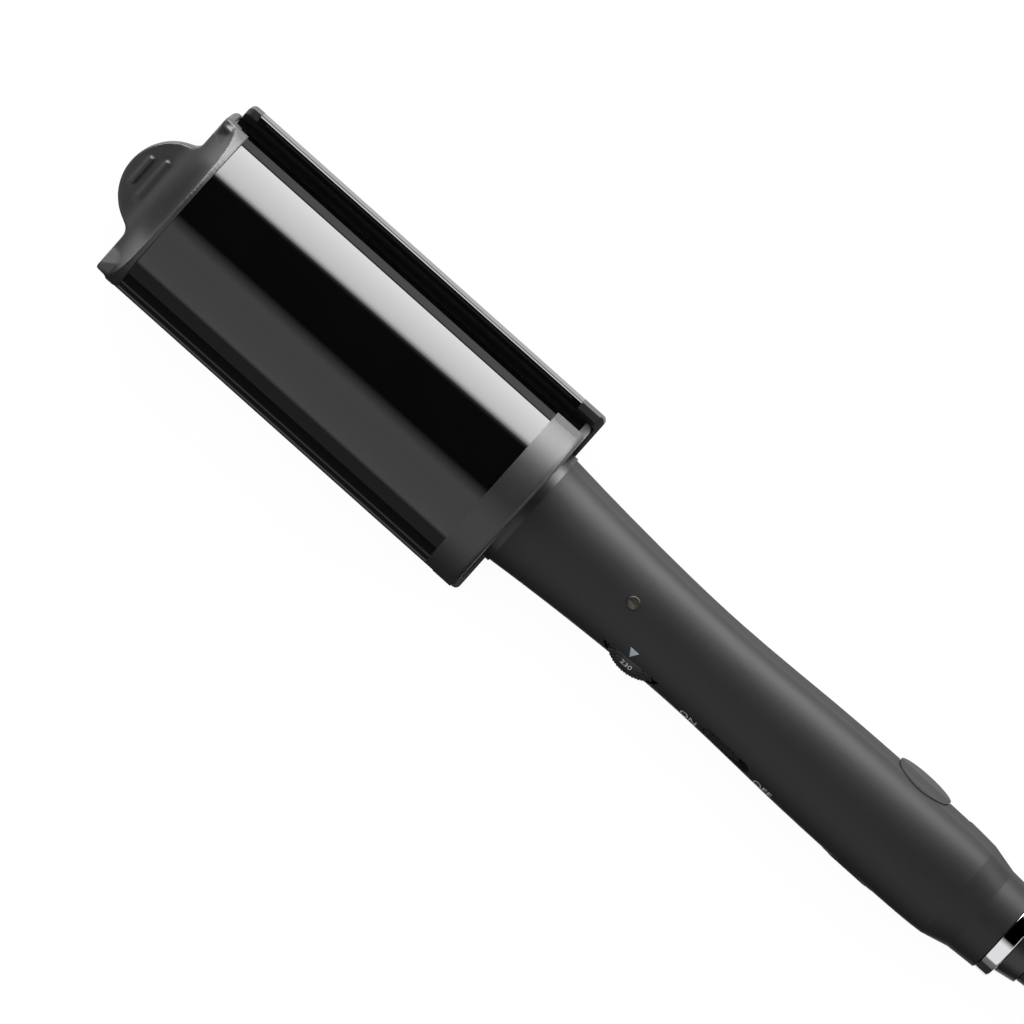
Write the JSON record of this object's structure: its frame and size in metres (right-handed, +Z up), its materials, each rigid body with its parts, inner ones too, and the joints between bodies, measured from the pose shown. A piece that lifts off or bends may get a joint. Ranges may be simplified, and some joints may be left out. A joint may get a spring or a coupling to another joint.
{
  "type": "hair waver",
  "caption": "Handheld hair waver: a heated barrel jaw closes into a trough jaw on a slim hinged handle with a heat dial, a slide switch and a swivelling mains lead.",
  "frame": {"origin": "on the flat underside of the lower jaw, below the middle of the heated plates", "axes": "+X from the jaws along the handle to the lead, +Z up from the lower arm to the upper arm, +Y across the jaws, with the dial and the switch on the -Y side"},
  "size_m": [0.4778, 0.102, 0.0527],
  "materials": {
    "heat_plate": "satin ceramic coating on aluminium",
    "jaw_plastic": "matte, finely textured heat-proof moulding",
    "jaw_gloss": "polished black moulding",
    "soft_touch": "soft-touch charcoal coating",
    "collar_plastic": "satin black moulding",
    "dial_plastic": "dark grey speckled moulding",
    "slider_plastic": "satin dark grey moulding",
    "ring_chrome": "bright plated ring",
    "lamp_lens": "clear yellowish light pipe",
    "lamp_body": "moulded lamp",
    "spring_steel": "plain steel",
    "bronze": "plain bearing and contact metal",
    "heater_ceramic": "fired, unglazed",
    "mica": "pressed sheet",
    "board": "coated laminate",
    "inner_plastic": "plain moulding",
    "wire_cover": "silicone insulation",
    "cord_rubber": "satin cord jacket",
    "plug_rubber": "moulded plug",
    "plug_metal": "nickel-plated pins"
  },
  "bodies": {
    "lower_arm": {"lower_wave_plate": "heat_plate", "lower_jaw_housing": "jaw_gloss", "lower_tip_cap": "jaw_plastic", "lower_rear_cap": "jaw_plastic", "lower_heaters": "heater_ceramic", "lower_mica_sheets": "mica", "lower_heater_clips": "spring_steel", "lower_handle_shell": "soft_touch", "lower_collar": "collar_plastic", "lower_inner_cover": "inner_plastic", "lower_screws": "spring_steel", "lower_jaw_wires": "wire_cover", "lower_temperature_sensor": "heater_ceramic", "hinge_bushes": "bronze", "cord_lead": "cord_rubber", "cord_coil": "cord_rubber", "cord_tie": "cord_rubber", "plug_lead": "cord_rubber", "plug_relief": "plug_rubber", "plug_body": "plug_rubber", "plug_pins": "plug_metal"},
    "upper_arm": {"upper_wave_plate": "heat_plate", "upper_jaw_frame": "jaw_gloss", "dome_cover": "jaw_gloss", "upper_tip_cap": "jaw_plastic", "upper_rear_cap": "jaw_plastic", "jaw_collar": "collar_plastic", "upper_heaters": "heater_ceramic", "upper_mica_sheets": "mica", "upper_heater_clips": "spring_steel", "upper_handle_shell": "soft_touch", "upper_inner_cover": "inner_plastic", "upper_screws": "spring_steel", "upper_jaw_wires": "wire_cover", "mains_wires": "wire_cover", "upper_temperature_sensor": "heater_ceramic", "thermal_fuse": "bronze", "tail_cover": "soft_touch", "tail_screws": "spring_steel", "hinge_pin": "spring_steel", "hinge_cap_left": "soft_touch", "hinge_cap_right": "soft_touch", "opening_spring": "spring_steel", "dial_potentiometer": "inner_plastic", "switch_body": "inner_plastic", "control_board": "board", "led_board": "board", "led_lamp": "lamp_body", "led_window": "lamp_lens", "tail_ring": "ring_chrome", "swivel_socket": "inner_plastic", "brush_contacts": "bronze", "strain_relief": "plug_rubber"},
    "dial": {"dial_wheel": "dial_plastic", "dial_shaft": "spring_steel"},
    "slider": {"power_slider": "slider_plastic"},
    "swivel": {"swivel_spindle": "spring_steel", "swivel_collar": "collar_plastic", "slip_rings": "bronze"}
  },
  "joints": [
    {"name": "jaw_open", "type": "hinge", "parent": "lower_arm", "child": "upper_arm", "pos_m": [0.1953, 0, 0.018], "axis": [0, 1, 0], "range_deg": [0, 7], "deforming": ["opening_spring", "cord_lead"]},
    {"name": "dial_turn", "type": "hinge", "parent": "upper_arm", "child": "dial", "pos_m": [0.1143, -0.003, 0.026], "axis": [0, 0, 1], "range_deg": [0, 270]},
    {"name": "power_slide", "type": "slide", "parent": "upper_arm", "child": "slider", "axis": [1, 0, 0], "range_m": [0, 0.0032]},
    {"name": "cord_swivel", "type": "hinge", "parent": "upper_arm", "child": "swivel", "pos_m": [0.244, 0, 0.018], "axis": [1, 0, 0], "continuous": true}
  ]
}
